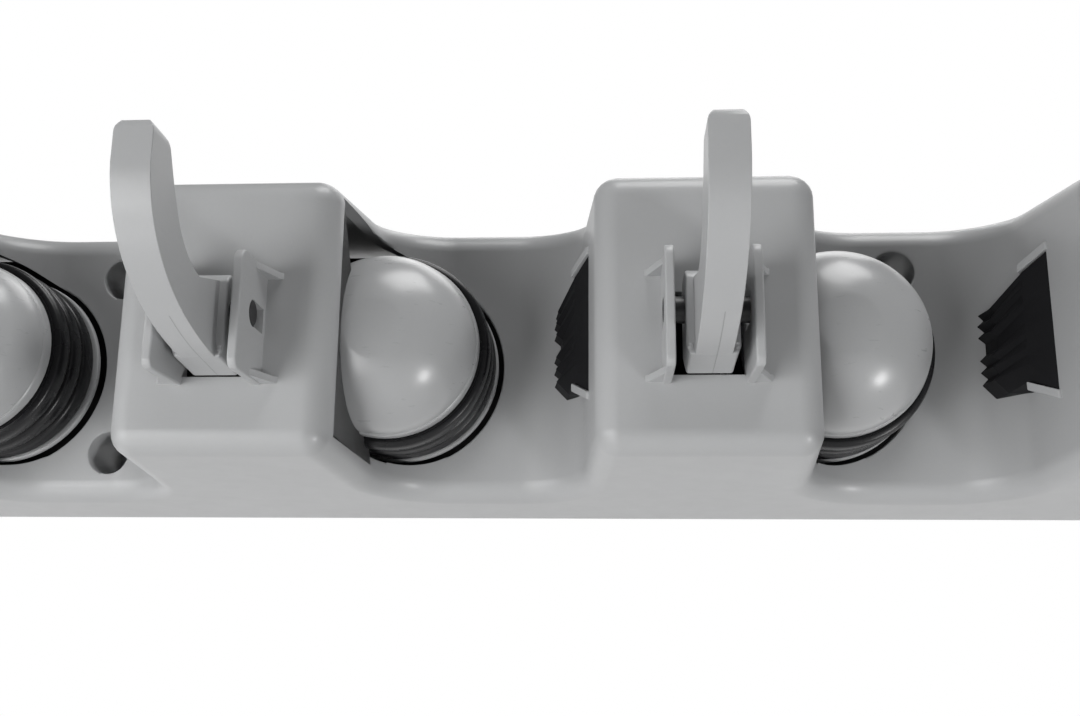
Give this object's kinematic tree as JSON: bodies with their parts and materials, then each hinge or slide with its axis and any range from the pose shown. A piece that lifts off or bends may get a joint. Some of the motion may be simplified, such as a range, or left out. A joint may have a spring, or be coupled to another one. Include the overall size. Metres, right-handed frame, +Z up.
{
  "type": "tool holder rack",
  "caption": "Wall rack for brooms and mops: a wavy shell with gripping wheels that roll up slanted slots, toothed rubber pads and fold-up hooks.",
  "frame": {"origin": "centre of the rack's back, on the wall plane, at half the shell's height", "axes": "+X along the rack to the right seen from the front, +Y into the wall, +Z up"},
  "size_m": [0.4184, 0.0913, 0.0536],
  "materials": {
    "shell_plastic": "moulded, satin gloss",
    "hook_plastic": "moulded, satin gloss",
    "cap_plastic": "moulded, satin gloss",
    "hub_plastic": "moulded, satin gloss",
    "pin_plastic": "moulded, satin gloss",
    "guide_plastic": "moulded, matt black",
    "tyre_rubber": "shiny moulded rubber",
    "pad_rubber": "matt moulded rubber",
    "axle_steel": "turned",
    "clip_steel": "pressed",
    "screw_steel": "zinc plated"
  },
  "bodies": {
    "rack": {"rack_shell": "shell_plastic", "guide_screws": "screw_steel", "grip_pad_1": "pad_rubber", "grip_pad_2": "pad_rubber", "grip_pad_3": "pad_rubber", "grip_pad_4": "pad_rubber", "grip_pad_5": "pad_rubber", "guide_plate_1": "guide_plastic", "guide_plate_2": "guide_plastic", "guide_plate_3": "guide_plastic", "guide_plate_4": "guide_plastic", "guide_plate_5": "guide_plastic", "hook_pin_1": "pin_plastic", "hook_pin_2": "pin_plastic", "hook_pin_3": "pin_plastic", "hook_pin_4": "pin_plastic", "hook_pin_5": "pin_plastic", "hook_pin_6": "pin_plastic"},
    "hook_arm_1": {"hook_1": "hook_plastic"},
    "hook_arm_2": {"hook_2": "hook_plastic"},
    "hook_arm_3": {"hook_3": "hook_plastic"},
    "hook_arm_4": {"hook_4": "hook_plastic"},
    "hook_arm_5": {"hook_5": "hook_plastic"},
    "hook_arm_6": {"hook_6": "hook_plastic"},
    "axle_carrier_1": {"axle_1": "axle_steel", "axle_clip_1": "clip_steel"},
    "wheel_1": {"wheel_hub_1": "hub_plastic", "tyre_1": "tyre_rubber", "wheel_cap_1": "cap_plastic"},
    "axle_carrier_2": {"axle_2": "axle_steel", "axle_clip_2": "clip_steel"},
    "wheel_2": {"wheel_hub_2": "hub_plastic", "tyre_2": "tyre_rubber", "wheel_cap_2": "cap_plastic"},
    "axle_carrier_3": {"axle_3": "axle_steel", "axle_clip_3": "clip_steel"},
    "wheel_3": {"wheel_hub_3": "hub_plastic", "tyre_3": "tyre_rubber", "wheel_cap_3": "cap_plastic"},
    "axle_carrier_4": {"axle_4": "axle_steel", "axle_clip_4": "clip_steel"},
    "wheel_4": {"wheel_hub_4": "hub_plastic", "tyre_4": "tyre_rubber", "wheel_cap_4": "cap_plastic"},
    "axle_carrier_5": {"axle_5": "axle_steel", "axle_clip_5": "clip_steel"},
    "wheel_5": {"wheel_hub_5": "hub_plastic", "tyre_5": "tyre_rubber", "wheel_cap_5": "cap_plastic"}
  },
  "joints": [
    {"name": "hook_fold_1", "type": "hinge", "parent": "rack", "child": "hook_arm_1", "pos_m": [-0.1875, -0.06, -0.0021], "axis": [-1, 0, 0], "range_deg": [0, 75]},
    {"name": "hook_fold_2", "type": "hinge", "parent": "rack", "child": "hook_arm_2", "pos_m": [-0.1125, -0.06, -0.0021], "axis": [-1, 0, 0], "range_deg": [0, 75]},
    {"name": "hook_fold_3", "type": "hinge", "parent": "rack", "child": "hook_arm_3", "pos_m": [-0.0375, -0.06, -0.0021], "axis": [-1, 0, 0], "range_deg": [0, 75]},
    {"name": "hook_fold_4", "type": "hinge", "parent": "rack", "child": "hook_arm_4", "pos_m": [0.0375, -0.06, -0.0021], "axis": [-1, 0, 0], "range_deg": [0, 75]},
    {"name": "hook_fold_5", "type": "hinge", "parent": "rack", "child": "hook_arm_5", "pos_m": [0.1125, -0.06, -0.0021], "axis": [-1, 0, 0], "range_deg": [0, 75]},
    {"name": "hook_fold_6", "type": "hinge", "parent": "rack", "child": "hook_arm_6", "pos_m": [0.1875, -0.06, -0.0021], "axis": [-1, 0, 0], "range_deg": [0, 75]},
    {"name": "wheel_climb_1", "type": "slide", "parent": "rack", "child": "axle_carrier_1", "axis": [-0.829, 0, 0.5592], "range_m": [0, 0.007]},
    {"name": "wheel_spin_1", "type": "hinge", "parent": "axle_carrier_1", "child": "wheel_1", "pos_m": [-0.165, -0.0275, -0.0012], "axis": [0, 1, 0], "continuous": true},
    {"name": "wheel_climb_2", "type": "slide", "parent": "rack", "child": "axle_carrier_2", "axis": [-0.829, 0, 0.5592], "range_m": [0, 0.007]},
    {"name": "wheel_spin_2", "type": "hinge", "parent": "axle_carrier_2", "child": "wheel_2", "pos_m": [-0.09, -0.0275, -0.0012], "axis": [0, 1, 0], "continuous": true},
    {"name": "wheel_climb_3", "type": "slide", "parent": "rack", "child": "axle_carrier_3", "axis": [-0.829, 0, 0.5592], "range_m": [0, 0.007]},
    {"name": "wheel_spin_3", "type": "hinge", "parent": "axle_carrier_3", "child": "wheel_3", "pos_m": [-0.015, -0.0275, -0.0012], "axis": [0, 1, 0], "continuous": true},
    {"name": "wheel_climb_4", "type": "slide", "parent": "rack", "child": "axle_carrier_4", "axis": [-0.829, 0, 0.5592], "range_m": [0, 0.007]},
    {"name": "wheel_spin_4", "type": "hinge", "parent": "axle_carrier_4", "child": "wheel_4", "pos_m": [0.06, -0.0275, -0.0012], "axis": [0, 1, 0], "continuous": true},
    {"name": "wheel_climb_5", "type": "slide", "parent": "rack", "child": "axle_carrier_5", "axis": [-0.829, 0, 0.5592], "range_m": [0, 0.007]},
    {"name": "wheel_spin_5", "type": "hinge", "parent": "axle_carrier_5", "child": "wheel_5", "pos_m": [0.135, -0.0275, -0.0012], "axis": [0, 1, 0], "continuous": true}
  ]
}
